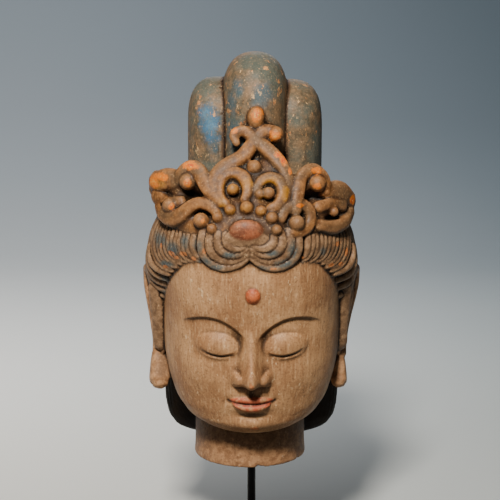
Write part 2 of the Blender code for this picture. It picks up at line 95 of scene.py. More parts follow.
# Skin and hair outlines: height, half width, front, back; how square the skin's plan is
SKIN_SQUARE = 0.88
SKIN = [
    (-106, 18, -78, -35), (-102, 42, -92, -12), (-92, 68, -104, 15), (-76, 86, -109, 42),
    (-55, 96, -111, 62), (-33, 102, -112, 80), (0, 105, -112, 94), (33, 105, -115, 100),
    (66, 105, -117, 100), (100, 104, -114, 92), (118, 102, -109, 86), (134, 88, -95, 75)]
HAIR = [
    (12, 58, 14, 66), (18, 82, 8, 78), (30, 97, 0, 86), (46, 103, -8, 92), (64, 105, -16, 97),
    (90, 106, -28, 102), (130, 109, -42, 110), (180, 116, -66, 118), (205, 122, -81, 119),
    (225, 125, -95, 118), (246, 125, -117, 116), (262, 122, -119, 111), (285, 115, -124, 101),
    (305, 102, -115, 86), (322, 76, -90, 62), (334, 34, -50, 24)]
HAIR_ROUND = 122.0
HAIR_FLUTES = 64
FLUTE_DEPTH = 2.4
RIBBON_Z = 300.0

# Middle of the neck's round cut, across and back
NECK_MIDDLE = (-2, 2)

# Front hair: strands of the swag, then first, middle and last of the locks and of the curls, each by its
# start's and its end's way round the hair and height, then each side with its curls and its locks' bulge
PARTING = -2.0
SWAG_STRANDS = 4
LOCK_COUNT = 6
LOCK_STRANDS = 2
LOCK_ROW = [(76, 306, 58, 263), (109, 303, 82, 259), (149, 296, 98, 246)]
CURL_ROW = [(152, 264, 103, 240), (144, 218, 116, 205)]
HAIR_SIDES = ((-1, 5, 4.0), (1, 4, 0.0))

# Ears: down from the top, half distance of the front edge on the left and on the right
EAR_TOP = 229.0
EAR_LINE = [(0, 118, 118), (36, 113, 112), (60, 110, 107), (86, 108, 104), (104, 108, 103), (148, 108, 103)]

# Crown: height, front at the middle; half width and middle of its plan
CROWN_FRONT = [(280, -127), (300, -124), (315, -118), (340, -106), (370, -85), (400, -67), (430, -62)]
CROWN_HALF = 128.0
CROWN_MIDDLE_Y = 10.0
BAND_DEPTH = 0.85
JEWEL = (-6, 299.5)

# Crown's lower and upper edges: place across, height. Its hollows: place across, height, spreads, depth
CROWN_LOW = [(-122, 333), (-109, 314), (-92, 300), (-40, 294), (70, 294), (93, 290), (108, 291), (122, 313)]
CROWN_TOP = [
    (-122, 337), (-118, 347), (-97, 356), (-60, 363), (-44, 356), (-22, 373), (4, 395), (27, 380),
    (46, 358), (68, 363), (86, 347), (108, 332), (122, 317)]
CROWN_HOLLOWS = [
    (-68, 335, 10, 7, 22), (72, 333, 12, 7, 22), (-20, 341, 9, 8, 10), (20, 338, 9, 8, 10),
    (4, 375, 9, 8, 9), (-15, 396, 5, 5, 9), (51, 307, 11, 10, 9), (93, 307, 7, 4, 11),
    (-56, 315, 10, 6, 10), (-100, 333, 10, 3, 6), (88, 327, 8, 3, 6)]

# What a face of the carving can belong to
REGIONS = ("skin", "ear", "neck", "hair", "lock", "crown", "jewel", "knot", "mark")

# Spots on the front, each with its place across, height and spreads: where the paint is rubbed through to
# orange, where blue is left, where the topknot's blue is still bright and where the crown is yellow
SPOTS = {}
SPOTS["orange"] = [
    (0, 121, 5, 7), (3, 60, 9, 4), (-13, 455, 6, 6), (3, 456, 4, 4), (26, 437, 5, 8), (-26, 424, 5, 6),
    (16, 474, 8, 4), (31, 456, 3, 7), (72, 386, 3, 10), (8, 426, 9, 7), (-114, 344, 12, 9),
    (-104, 351, 12, 5), (-69, 367, 11, 6), (-73, 349, 6, 6), (-91, 321, 5, 6), (36, 374, 6, 7),
    (44, 362, 4, 5), (30, 380, 5, 5), (75, 361, 8, 6), (75, 345, 6, 5), (117, 322, 5, 8), (5, 422, 7, 9),
    (27, 400, 9, 8), (-20, 405, 5, 6), (54, 326, 6, 3), (-55, 310, 4, 4), (-53, 275, 4, 5),
    (-78, 268, 7, 4), (-66, 264, 6, 4), (-104, 272, 4, 6), (-92, 266, 5, 4), (-99, 248, 5, 3),
    (-61, 438, 6, 10), (-86, 262, 5, 3), (110, 262, 4, 8), (104, 250, 6, 4), (57, 266, 5, 3),
    (25, 256, 7, 2), (92, 252, 6, 3), (99, 276, 5, 4)]
SPOTS["blue"] = [
    (-49, 408, 15, 27), (-50, 424, 10, 12), (-44, 388, 10, 20), (-15, 451, 9, 13), (-22, 436, 8, 14),
    (-18, 396, 18, 26), (12, 444, 16, 18), (-53, 262, 9, 6), (-40, 256, 12, 4), (-61, 281, 5, 9),
    (-90, 272, 7, 9), (-99, 252, 9, 4), (-100, 230, 8, 5), (-98, 210, 8, 5), (37, 261, 12, 6),
    (12, 256, 10, 4), (47, 277, 6, 10), (-105, 278, 9, 9), (-76, 284, 5, 9), (52, 258, 8, 6),
    (82, 270, 4, 6), (-24, 272, 9, 4), (24, 274, 9, 4)]
SPOTS["bright"] = [(-47, 407, 17, 26), (-54, 420, 12, 12)]
SPOTS["yellow"] = [
    (-5, 350, 8, 9), (-21, 345, 16, 14), (14, 332, 10, 8), (-33, 331, 6, 8), (38, 340, 6, 12),
    (-6, 325, 9, 6), (-24, 321, 7, 6), (20, 352, 14, 7), (11, 321, 7, 6), (-108, 342, 14, 8)]
# Deep hollows under the crown's hooks, where near-black painted shade goes
HOLLOW_SHADE_SPOTS = [(-71, 331, 11, 8), (56, 330, 12, 9), (-79, 288, 9, 5), (82, 296, 10, 5), (-107, 322, 7, 4)]

# Soft lights, aimed at one point: name, place, size, power, tint
LAMPS_AIM = (0, 0, 0.38)
LAMPS = [("key", (-0.30, -1.70, 2.06), 0.38, 110, (1.0, 0.93, 0.83)),
         ("fill", (-1.2, -2.0, 0.7), 1.6, 0.6, (0.92, 0.96, 1.0)),
         ("back", (0.1, 1.9, 1.1), 0.9, 5, (0.97, 0.98, 1.0))]


def through(points, column, at):
    """Smooth curve through one column of an outline, read at the heights given."""
    table = np.array(points, float)
    heights, values = table[:, 0], table[:, column]
    slopes = np.gradient(values, heights)
    at = np.clip(at, heights[0], heights[-1])
    i = np.clip(np.searchsorted(heights, at) - 1, 0, len(heights) - 2)
    step = heights[i + 1] - heights[i]
    t = (at - heights[i]) / step
    rise = values[i + 1] - values[i]
    start, end = slopes[i] * step, slopes[i + 1] * step
    return values[i] + t * start + t * t * (3 * rise - 2 * start - end) + t ** 3 * (start + end - 2 * rise)


def hump(x, z, middle_x, middle_z, spread_x, spread_z):
    """Round swelling of height 1."""
    return np.exp(-((x - middle_x) / spread_x) ** 2 - ((z - middle_z) / spread_z) ** 2)


def step_up(value, low, high):
    """0 below low, 1 above high, smooth between."""
    t = np.clip((value - low) / (high - low), 0.0, 1.0)
    return t * t * (3 - 2 * t)


def arc_share(value):
    """1 in the middle, falling to 0 at -1 and 1 along a half circle."""
    return np.sqrt(np.clip(1 - value ** 2, 0.0, 1.0))


def squared(value, power):
    """Sine or cosine that makes a circle squarer, the more so the smaller the power."""
    return np.sign(value) * np.abs(value) ** power


def nose_relief(side, z):
    """Nose: a ridge that grows to its tip, two wings and a square underside with nostrils."""
    ridge = [(NOSE_Z, 17), (-28, 23.5), (-22, 24.5), (-12, 19.5), (0, 13.5), (12, 8.5), (24, 4.5),
             (36, 1.5), (46, 0)]
    width = [(NOSE_Z, 11), (-24, 12), (-12, 10), (4, 8.5), (20, 8), (34, 9)]
    bridge = through(ridge, 1, z) * np.exp(-(side / through(width, 1, z)) ** 2.3)
    wings = 12.5 * np.exp(-np.abs((side - 13.5) / 8) ** 3 - np.abs((z + 25) / 8.5) ** 3)
    under = step_up(z, NOSE_Z - 3.5, NOSE_Z + 1)
    nostrils = -5 * hump(side, z, 8, NOSE_Z - 0.5, 4, 2.5)
    return (np.maximum(bridge, wings) + nostrils) * under + 4 * hump(side, z, 0, -8, 26, 30)


def brow_height(side):
    """Height of the brow's line, a long low arc."""
    peak = BROW_Z + 14
    return np.where(side < 48, peak - 21 * ((48 - side) / 38) ** 2, peak - 11 * ((side - 48) / 32) ** 2)


def slit_height(across):
    """Height of the eye's slit, from -1 at its inner to 1 at its outer corner."""
    return EYE_Z - 6 + 4 * across ** 2 + 1.5 * across


def eye_across(side):
    """Place across the eye, from -1 at its inner to 1 at its outer corner."""
    return (side - EYE_WIDTH) / (EYE_WIDTH / 2)


def eye_relief(side, z):
    """Eye: a hollow under the brow, a full upper lid looking down, a slit and a lower rim."""
    across = eye_across(side)
    window = arc_share(across / 1.05)
    slit = slit_height(across)
    lid = 7 * np.clip(1 - (across / 1.3) ** 2 - ((z - EYE_Z - 3) / 16) ** 2, 0, 1) ** 0.6
    gap = step_up(z, slit - 4.6, slit - 3.4) * (1 - step_up(z, slit - 0.8, slit + 0.4))
    brow = brow_height(side)
    below_brow = 1 - step_up(z, brow - 2.0, brow + 0.6)
    span = step_up(side, 4, 16) * (1 - step_up(side, 66, 84))
    hollow = -4.0 * below_brow * span * np.exp(-(np.minimum(z - brow, 0) / 26) ** 2)
    return hollow + lid - 3.4 * window * gap - 3 * hump(side, z, 16, 18, 9, 12)


def mouth_line(across):
    """Height of the line where the lips meet, from its middle to its raised corners at 1."""
    return MOUTH_Z + 2 * across ** 2


def mouth_relief(side, z):
    """Mouth: two full lips that meet in a line with raised corners, and the groove above."""
    across = side / MOUTH_HALF
    line = mouth_line(across)
    open_share = arc_share(across)
    upper_height = UPPER_LIP * open_share - 1.4 * np.exp(-(side / 3.2) ** 2) + 0.01
    lower_height = LOWER_LIP * arc_share(across / LOWER_LIP_SHARE) + 0.01
    up = np.clip((z - line) / upper_height, 0, 1)
    down = np.clip((line - z) / lower_height, 0, 1)
    lips = 4.6 * (4 * up * (1 - up)) ** 0.6 + 6.2 * (4 * down * (1 - down)) ** 0.6
    part_line = -2.6 * np.exp(-((z - line) / 1.6) ** 2) * (np.abs(across) < 1.1)
    corners = -1.6 * hump(side, z, MOUTH_HALF + 1, MOUTH_Z + 2, 5, 5)
    groove = -1.8 * np.exp(-(side / 3.4) ** 2) * step_up(z, MOUTH_Z + 8, MOUTH_Z + 12)
    groove = groove * (1 - step_up(z, NOSE_Z - 4, NOSE_Z))
    swell = 5 * hump(side, z, 0, MOUTH_Z, 32, 20)
    return lips * open_share ** 0.8 + part_line + corners + groove + swell


def face_relief(x, z):
    """How far the face stands out from the plain head form, in parts."""
    side = np.abs(x)
    chin = 7 * hump(side, z, 0, -86, 22, 13) - 3.5 * hump(side, z, 0, -72, 22, 5)
    cheek = 6 * hump(side, z, 58, -20, 28, 30)
    return nose_relief(side, z) + eye_relief(side, z) + mouth_relief(side, z) + chin + cheek


def skin_form(around, rings):
    """Rings of the bare head, in the face's frame, with the face carved in front."""
    turn = np.linspace(-1, 1, around, endpoint=False)
    angle = math.pi * turn * (0.5 + 0.5 * np.abs(turn))
    z = np.linspace(SKIN[0][0], SKIN[-1][0], rings)[:, None]
    half, front, back = (through(SKIN, column, z) for column in (1, 2, 3))
    x = half * squared(np.sin(angle), SKIN_SQUARE)
    y = (front + back) / 2 + (front - back) / 2 * squared(np.cos(angle), SKIN_SQUARE)
    z = z + 0 * x
    y = y - face_relief(x, z) * step_up(np.cos(angle), 0.0, 0.35)
    return face_to_head(np.stack([x, y, z], axis=-1))


def face_to_head(points):
    """Points of the face's frame, nodded forward and set in the head."""
    x, y, z = np.moveaxis(np.asarray(points, float), -1, 0)
    nodded = [x, y * math.cos(NOD) - z * math.sin(NOD), y * math.sin(NOD) + z * math.cos(NOD)]
    return np.stack(nodded, axis=-1) + FACE_MIDDLE


def hair_point(run, z, lift=0.0):
    """Point on the hair: run is the way round from the front's middle, lift stands out of it."""
    run, z = np.broadcast_arrays(np.asarray(run, float), np.asarray(z, float))
    half, front, back = (through(HAIR, column, z) for column in (1, 2, 3))
    angle = run / HAIR_ROUND
    x = (half + lift) * np.sin(angle)
    y = (front + back) / 2 - ((back - front) / 2 + lift) * np.cos(angle)
    return np.stack([x, y, z], axis=-1)


def hair_form(around, rings, flutes, depth):
    """Rings of the hair, combed up in shallow flutes at the sides and the back."""
    run = np.linspace(-math.pi, math.pi, around, endpoint=False) * HAIR_ROUND
    z = np.linspace(HAIR[0][0], HAIR[-1][0], rings)[:, None]
    combed = np.abs(np.sin(run / HAIR_ROUND * flutes / 2 + z / 60)) * step_up(np.abs(run), 120, 170)
    return hair_point(run, z, depth * combed)


def crown_point(x, z, out=0.0):
    """Point on the crown's front, with out standing forward of it."""
    x, z = np.broadcast_arrays(np.asarray(x, float), np.asarray(z, float))
    front = through(CROWN_FRONT, 1, z)
    share = arc_share(x / CROWN_HALF)
    y = CROWN_MIDDLE_Y - (CROWN_MIDDLE_Y - front) * share
    normal = crown_normal(x, z)
    return np.stack([x, y, z], axis=-1) + normal * out


def crown_normal(x, z):
    """Direction straight out of the crown's front."""
    slope_z = (through(CROWN_FRONT, 1, z + 2) - through(CROWN_FRONT, 1, z - 2)) / 4
    share = np.maximum(arc_share(x / CROWN_HALF), 0.25)
    front = CROWN_MIDDLE_Y - through(CROWN_FRONT, 1, z)
    slope_x = front * x / (CROWN_HALF ** 2 * share)
    normal = np.stack([slope_x, -np.ones_like(slope_x), slope_z * share], axis=-1)
    return normal / np.linalg.norm(normal, axis=-1, keepdims=True)


def spline(points, count):
    """Evenly read smooth curve through a few chosen points."""
    points = np.array(points, float)
    table = np.column_stack([np.arange(len(points)), points])
    at = np.linspace(0, len(points) - 1, count)
    return np.stack([through(table, column, at) for column in range(1, table.shape[1])], axis=-1)


def skin_rings(bm, rings):
    """Closed skin over rings of points, with a flat face at each end."""
    loops = [[bm.verts.new(point) for point in ring] for ring in rings]
    for low, high in zip(loops, loops[1:]):
        for i in range(len(low)):
            j = (i + 1) % len(low)
            bm.faces.new((low[i], low[j], high[j], high[i]))
    bm.faces.new(loops[0][::-1])
    bm.faces.new(loops[-1])


def ball(bm, middle, radii, turn=None, detail=3):
    """Round or oval mass."""
    turn = turn or Matrix.Identity(4)
    place = Matrix.Translation(Vector(middle)) @ turn @ Matrix.Diagonal((*radii, 1.0))
    bmesh.ops.create_icosphere(bm, subdivisions=detail, radius=1.0, matrix=place)


def tube(bm, path, radii, normals, depth=1.0, sides=18):
    """Round-ended band along a path: its width lies across the normals, its depth along them."""
    path = np.asarray(path, float)
    count = len(path)
    radii = np.broadcast_to(np.asarray(radii, float), (count,)).copy()
    normals = np.broadcast_to(np.asarray(normals, float), (count, 3))
    along = np.gradient(path, axis=0)
    along /= np.linalg.norm(along, axis=1, keepdims=True) + 1e-9
    across = np.cross(along, normals)
    across /= np.linalg.norm(across, axis=1, keepdims=True) + 1e-9
    out = np.cross(across, along)
    ends = ((0, -1.0, -0.85), (0, -0.7, -0.45), *((i, 0.0, 0.0) for i in range(count)),
            (count - 1, 0.7, 0.45), (count - 1, 1.0, 0.85))
    rings = []
    for i, reach, shrink in ends:
        middle = path[i] + along[i] * reach * radii[i]
        radius = radii[i] * math.sqrt(1 - min(1.0, abs(reach)) ** 2 + 0.02) if reach else radii[i]
        ring = []
        for side in range(sides):
            angle = 2 * math.pi * side / sides
            circle = (math.cos(angle), math.sin(angle))
            wide, high = (math.copysign(abs(part) ** BAND_SQUARE, part) for part in circle)
            ring.append(middle + radius * (wide * across[i] + depth * high * out[i]))
        rings.append(ring)
    skin_rings(bm, rings)


def crown_band(bm, points, radii, out=0.0):
    """Band laid on the crown along chosen points of x and height."""
    flat = spline(points, 26)
    path = crown_point(flat[:, 0], flat[:, 1], out)
    radii = spline([(r,) for r in radii], len(flat))[:, 0]
    tube(bm, path, radii, crown_normal(flat[:, 0], flat[:, 1]), BAND_DEPTH)


def crown_arc(bm, middle, radius, from_deg, to_deg, thick, out=0.5, shrink=0.0):
    """Round or spiral band on the crown; shrink is how much of the radius it loses on its way."""
    share = np.linspace(0, 1, 24)
    angle = np.radians(from_deg + (to_deg - from_deg) * share)
    reach = radius * (1 - shrink * share)
    x, z = middle[0] + reach * np.cos(angle), middle[1] + reach * np.sin(angle)
    radii = spline([(r,) for r in thick], len(share))[:, 0]
    tube(bm, crown_point(x, z, out), radii, crown_normal(x, z), BAND_DEPTH)


def crown_bead(bm, x, z, radius, out=2.0, tall=1.0):
    """Round bead on the crown."""
    ball(bm, crown_point(x, z, out), (radius, radius, radius * tall))


def neck_form(bm):
    """Round neck, from below its cut up into the head."""
    angle = np.linspace(0, 2 * math.pi, 160, endpoint=False)
    x, y = np.cos(angle), np.sin(angle)
    outline = ((67.2, 0.0), (67.8, 2.0), (67.5, 6.0), (66.8, 14.0), (66.0, 40.0), (64.0, 100.0))
    rings = [(NECK_MIDDLE[0] + r * x, NECK_MIDDLE[1] + r * y, z + 0 * angle) for r, z in outline]
    skin_rings(bm, [np.stack(ring, axis=-1) for ring in rings])


def ear(bm, side):
    """Long ear, lying against the hair with its back edge turned out a little, and a heavy lobe."""
    back = Vector((side * 0.3, 0.954, 0.0))
    out = Vector((side * 0.954, -0.3, 0.0))
    column, lobe_radii = (1, (8.5, 10.5, 12.5, 11.5)) if side < 0 else (2, (4.5, 7.5, 9.5, 10.0))

    def place(depth, drop, lift=0.0):
        root_x = float(through(EAR_LINE, column, drop))
        root = Vector((side * root_x, -8 - drop / 15, EAR_TOP - drop))
        return root + back * depth + out * lift

    def rim(points, radii, lift, depth=1.0):
        flat = spline(points, 20)
        radii = spline([(r,) for r in radii], 20)[:, 0]
        tube(bm, [place(u, v, lift) for u, v in flat], radii, out, depth)

    turn = Matrix((back, out, Vector((0, 0, 1)))).transposed().to_4x4()
    ball(bm, place(9, 56, -4), (23, 7, 52), turn)
    rim([(2, 56), (0, 28), (6, 7), (19, 1), (30, 10), (34, 34), (29, 62), (21, 88), (16, 106)],
        (3.5, 5.2, 5.5, 5.5, 5.5, 5.5, 5.2, 5.2, 6.5), 1)
    rim([(14, 20), (22, 38), (19, 62), (11, 76)], (3.0, 4.2, 4.2, 3.5), 1)
    rim([(14, 104), (13, 116), (12, 134), (11, 137)], lobe_radii, 0)


def sideburn(bm, side):
    """Flat strip of hair in front of the ear, down to the lobe."""
    line = [(113, -30, 214), (112, -26, 190), (111, -20, 165), (111, -14, 142), (110, -11, 136)]
    across = 3 if side > 0 else 0
    path = spline([(side * (x - across), y, z) for x, y, z in line], 16)
    tube(bm, path, np.linspace(9.5, 7.0, 16), (side * 0.5, -0.866, 0.0), 0.75)


def lock(bm, run, z, width, tip, lift, strands=1):
    """Lock of hair along a path on the hair, narrower at its tip, of strands lying side by side."""
    path = hair_point(run, z, lift)
    outward = hair_point(run, z, lift + 5) - path
    outward /= np.linalg.norm(outward, axis=1, keepdims=True)
    along = np.gradient(path, axis=0)
    across = np.cross(along / np.linalg.norm(along, axis=1, keepdims=True), outward)
    radii = width + (tip - width) * step_up(np.linspace(0, 1, len(path)), 0.35, 1.0)
    strand_radii = radii * (1.15 / strands if strands > 1 else 1.0)
    for i in range(strands):
        offset = radii * (2 * i + 1 - strands) / strands
        tube(bm, path + across * offset[:, None], strand_radii, outward, 0.85)


def falling_lock(bm, side, ends, width, tip, lift, bulge=0.0, strands=1):
    """Lock that falls from its start and turns in towards the face: a quarter of an ellipse."""
    start_run, start_z, end_run, end_z = ends
    quarter = np.linspace(0, math.pi / 2, 18)
    run = start_run + (end_run - start_run) * (1 - np.cos(quarter)) + bulge * np.sin(2 * quarter)
    z = start_z + (end_z - start_z) * np.sin(quarter)
    lock(bm, side * run, z, width, tip, lift, strands)


def swag(bm, side):
    """Nested strands that sag in an arc over the brow and meet at the parting."""
    turn = np.radians(np.linspace(165, 320, 22))
    for i in range(SWAG_STRANDS):
        outer, inner, sag = 59.0 - 9.8 * i, 2.5, 34.0 - 6.8 * i
        reach = (outer - inner) / (1 + np.cos(turn[-1]))
        run = PARTING + side * (outer - reach - reach * np.cos(turn))
        lock(bm, run, 290 + i + sag * np.sin(turn), 5.4, 3.4, 3.2 - 0.7 * i)


def hair_locks(bm):
    """Front hair: swags that meet over the brow, falling locks, temple curls and sideburns."""
    for side, curls, bulge in HAIR_SIDES:
        swag(bm, side)
        for ends in spline(LOCK_ROW, LOCK_COUNT):
            falling_lock(bm, side, ends, 7.0, 3.6, 1.8, bulge, LOCK_STRANDS)
        for ends in spline(CURL_ROW, curls):
            falling_lock(bm, side, ends, 5.8, 3.8, 2.4)
        sideburn(bm, side)


def crown_ground(bm):
    """Body of the crown behind its scrolls, the rise of hair, and the ribbon round the back."""
    across = np.linspace(-120, 120, 100)
    share = np.linspace(0, 1, 34)
    rings = []
    for x in across:
        low, high = float(through(CROWN_LOW, 1, x)), float(through(CROWN_TOP, 1, x))
        z = low + (high - low) * share
        hollows = sum(depth * hump(x, z, *place) for *place, depth in CROWN_HOLLOWS)
        front = crown_point(x, z) + crown_normal(x + 0 * z, z) * (1.0 - hollows)[:, None]
        thick = 30 - 14 * share[::4]
        back = crown_point(x, z[::4]) - crown_normal(x + 0 * thick, z[::4]) * thick[:, None]
        rings.append(np.concatenate([front, back[::-1]]))
    skin_rings(bm, rings)
    ball(bm, (2, 12, 312), (92, 78, 50), detail=5)
    run = (math.pi + np.linspace(-0.56, 0.56, 40) * math.pi) * HAIR_ROUND
    tube(bm, hair_point(run, RIBBON_Z, 1.0), 4.5, (0, 0, 1), 2.0)


def crown_arch(bm):
    """Pointed arch of two arms that cross over and curl outwards, with a bud over them."""
    crown_band(bm, [(-44, 338), (-44, 350), (-32, 365), (-10, 377), (4, 394), (15, 403), (26, 401)],
               (8, 8.5, 8.5, 9, 8, 8.5, 9.5))
    crown_band(bm, [(27, 321), (39, 335), (41, 354), (27, 375), (6, 393), (-9, 404), (-20, 400), (-17, 391)],
               (4.5, 5.5, 7, 9, 8, 7, 6, 4.5), 0.5)
    crown_bead(bm, 27, 400, 9.5)
    crown_bead(bm, 5, 419, 9.8, -1, 1.35)
    crown_bead(bm, 3, 366, 8, 1)


def crown_eyes(bm):
    """The two round spirals in the arch, each with a bead in its middle."""
    crown_arc(bm, (-20, 343), 18, 240, -42, (5.5, 7, 7.2, 7.2, 4.5), shrink=0.15)
    crown_arc(bm, (19.5, 340), 13.5, 185, -82, (4, 6, 7.2, 7, 5.5), shrink=-0.25)
    crown_bead(bm, -21, 343, 6.8, 0.5)
    crown_bead(bm, 19, 339, 7, 1.5)
    crown_bead(bm, 9, 338.5, 5.5, 1)


def crown_jewel(bm):
    """Oval jewel over the parting, and the row of beads that arches over it."""
    ball(bm, crown_point(*JEWEL, 0.5), (18.5, 7, 12.5))
    for degrees, radius in ((0, 6), (32, 6.6), (59, 6), (86, 7.4), (116, 6), (147, 5.8), (179, 5.6)):
        angle = math.radians(degrees)
        crown_bead(bm, -8 + 36 * math.cos(angle), 300 + 24 * math.sin(angle), radius)


def crown_hooks(bm):
    """Tall hooks at both sides of the arch, each curled outwards over a bead and a hollow."""
    crown_band(bm, [(-34, 328), (-50, 342), (-57, 357), (-68, 363), (-78, 356), (-80, 349)],
               (5.5, 7.5, 9.5, 9, 8, 6.5), 1.5)
    crown_bead(bm, -72, 348, 10, 1.5)
    crown_band(bm, [(49, 319), (52, 338), (56, 354), (70, 361), (83, 350), (85, 336)],
               (7, 7.5, 7.5, 7, 6, 4), 1.5)
    crown_bead(bm, 74, 346, 10, 1.5)


def crown_sides(bm):
    """Leaves and ringed bosses that close the crown towards the ears."""
    crown_band(bm, [(-104, 319), (-98, 309), (-85, 307), (-63, 325), (-48, 325), (-38, 316)],
               (8, 9.5, 9.5, 7.5, 6.5, 5), 1)
    crown_bead(bm, -56, 308, 8.8, 3)
    crown_arc(bm, (51, 310), 17, 175, -110, (5, 7, 7, 6.5, 5), shrink=0.15)
    crown_bead(bm, 50, 306, 9, 3)
    crown_band(bm, [(-113, 342), (-97, 348), (-82, 350)], (12, 14, 10), -4)
    crown_band(bm, [(-110, 327), (-97, 320), (-82, 326)], (9.5, 10, 7), -2)
    crown_bead(bm, -91, 320, 8.5, 4)
    crown_band(bm, [(86, 338), (102, 334), (115, 320)], (9, 13, 12), -4)
    crown_band(bm, [(76, 301), (92, 296), (106, 299), (113, 309)], (7, 8, 8.5, 8))
    crown_band(bm, [(76, 321), (91, 322), (104, 318)], (7, 6.5, 8))
    crown_bead(bm, 92, 313, 5.8, 3)


def topknot(bm):
    """Three smooth upright lobes of gathered hair, the middle one taller and in front."""
    root_depth, fullness, plan_square = 120, 2.2, 0.85
    # Each lobe: its middle, then its half width, half depth and height over the middle
    lobes = ((4, 8, 392, 40, 70, 96), (-41, 22, 380, 35, 56, 77), (47, 22, 380, 37, 56, 74))
    upright = -np.cos(np.linspace(0.06, math.pi - 0.06, 40))
    share = (1 - np.abs(upright) ** (2 * fullness)) ** (1 / fullness)
    angle = np.linspace(0, 2 * math.pi, 64, endpoint=False)
    plan_x = squared(np.cos(angle), plan_square)
    plan_y = squared(np.sin(angle), plan_square)
    for x, y, z, half, deep, tall in lobes:
        height = z + upright * np.where(upright > 0, tall, root_depth)
        skin_rings(bm, [np.stack([x + half * s * plan_x, y + deep * s * plan_y, h + 0 * angle], axis=-1)
                        for h, s in zip(height, share)])


def new_object(name, data):
    """New object, linked to the scene."""
    made = bpy.data.objects.new(name, data)
    bpy.context.scene.collection.objects.link(made)
    return made


def region(bm, name, build, *values):
    """Builds a mass and labels its faces, by material index, with their region."""
    done = len(bm.faces)
    build(bm, *values)
    bm.faces.ensure_lookup_table()
    for face in bm.faces[done:]:
        face.material_index = REGIONS.index(name)


def head_masses():
    """All carved masses of the head, in metres, each face labelled with its region."""
    bm = bmesh.new()
    region(bm, "skin", skin_rings, skin_form(460, 380))
    region(bm, "mark", ball, FOREHEAD_MARK, (8.5, 8.0, 9.5), None, 4)
    region(bm, "neck", neck_form)
    region(bm, "hair", skin_rings, hair_form(360, 200, HAIR_FLUTES, FLUTE_DEPTH))
    for side in (-1, 1):
        region(bm, "ear", ear, side)
    region(bm, "lock", hair_locks)
    for build in (crown_ground, crown_arch, crown_eyes, crown_jewel, crown_hooks, crown_sides):
        region(bm, "crown", build)
    # Hair under the jewel, and the jewel's outer skin, which takes its red
    region(bm, "hair", ball, crown_point(JEWEL[0], 291, -3.5), (27, 7, 12), None, 4)
    region(bm, "jewel", ball, crown_point(*JEWEL, 0.6), (18.6, 7.2, 12.6), None, 4)
    region(bm, "knot", topknot)
    bmesh.ops.scale(bm, vec=(PART, PART, PART), verts=bm.verts)
    bmesh.ops.translate(bm, vec=(0, 0, NECK_Z), verts=bm.verts)
    return bm


def one_skin(bm, name):
    """The masses joined into one even skin, as a new mesh object."""
    mesh = bpy.data.meshes.new(name)
    bm.to_mesh(mesh)
    made = new_object(name, mesh)
    remesh = made.modifiers.new("One skin", "REMESH")
    remesh.mode = "VOXEL"
    remesh.voxel_size = VOXEL * PART
    apply_modifiers(made)
    return made


def apply_modifiers(piece):
    """Replaces a piece's mesh by what its modifiers make of it."""
    graph = bpy.context.evaluated_depsgraph_get()
    graph.update()
    shown = piece.evaluated_get(graph)
    finished = bpy.data.meshes.new_from_object(shown, preserve_all_data_layers=True, depsgraph=graph)
    piece.modifiers.clear()
    piece.data = finished


def read(items, name, width, kind=np.float32):
    """One value of all items of a mesh, as rows."""
    found = np.empty(len(items) * width, kind)
    items.foreach_get(name, found)
    return found.reshape(-1, width)


class Surface:
    """The fine skin as arrays: its points, and which points are neighbours."""

    def __init__(self, mesh):
        self.mesh = mesh
        self.points = read(mesh.vertices, "co", 3).astype(float)
        self.first, self.second = read(mesh.edges, "vertices", 2, np.int32).T
        self.count = np.bincount(np.concatenate([self.first, self.second]), minlength=len(self.points))

    def mean(self, values):
        """Mean of the neighbours' values, for one value or three to a point."""
        if values.ndim == 2:
            return np.stack([self.mean(column) for column in values.T], axis=-1)
        size = len(self.points)
        at_first = np.bincount(self.first, values[self.second], size)
        at_second = np.bincount(self.second, values[self.first], size)
        return (at_first + at_second) / self.count

    def spread(self, values, times):
        """Values shared out to the neighbours."""
        for _ in range(times):
            values = 0.5 * values + 0.5 * self.mean(values)
        return values

    def normals(self):
        """Moves the mesh to the points, and gives its directions outwards."""
        self.mesh.vertices.foreach_set("co", self.points.astype(np.float32).ravel())
        self.mesh.update()
        return read(self.mesh.vertex_normals, "vector", 3).astype(float)

    def fill_grooves(self, times, share):
        """Rounds the sharp inner corners where masses meet, and leaves what stands out."""
        for _ in range(times):
            normals = self.normals()
            inward = ((self.mean(self.points) - self.points) * normals).sum(axis=1)
            self.points += normals * (share * np.maximum(inward, 0))[:, None]


def rough(points, size, seed):
    """Smooth random field from -1 to 1, its lumps of about the size given."""
    at = np.asarray(points) / size + seed * SEED_SHIFT
    low = np.floor(at)
    part = at - low
    part = part * part * (3 - 2 * part)
    total = 0.0
    for corner in np.ndindex(2, 2, 2):
        cell = low + corner
        scattered = np.sin(cell @ np.array(SCATTER) + seed) * SCATTER_SCALE
        weight = np.prod(np.where(corner, part, 1 - part), axis=-1)
        total = total + weight * (scattered - np.floor(scattered))
    return 2 * total - 1


def spots(parts, facing, table):
    """How much each point of the front lies in one of the spots."""
    share = np.zeros(len(parts))
    for x, z, spread_x, spread_z in table:
        share = np.maximum(share, hump(parts[:, 0], parts[:, 2], x, z, spread_x, spread_z))
    return share * step_up(-facing, 0.0, 0.35)


def in_parts(points):
    """Points of the frame in parts of the head, from the neck's cut up."""
    return (points - (0, 0, NECK_Z)) / PART


def mass_numbers(bm):
    """A number for each face: that of the closed mass it is part of."""
    bm.faces.ensure_lookup_table()
    numbers = [-1] * len(bm.faces)
    for start in bm.faces:
        waiting = [start] if numbers[start.index] < 0 else []
        while waiting:
            face = waiting.pop()
            if numbers[face.index] < 0:
                numbers[face.index] = start.index
                waiting.extend(other for edge in face.edges for other in edge.link_faces)
    return numbers


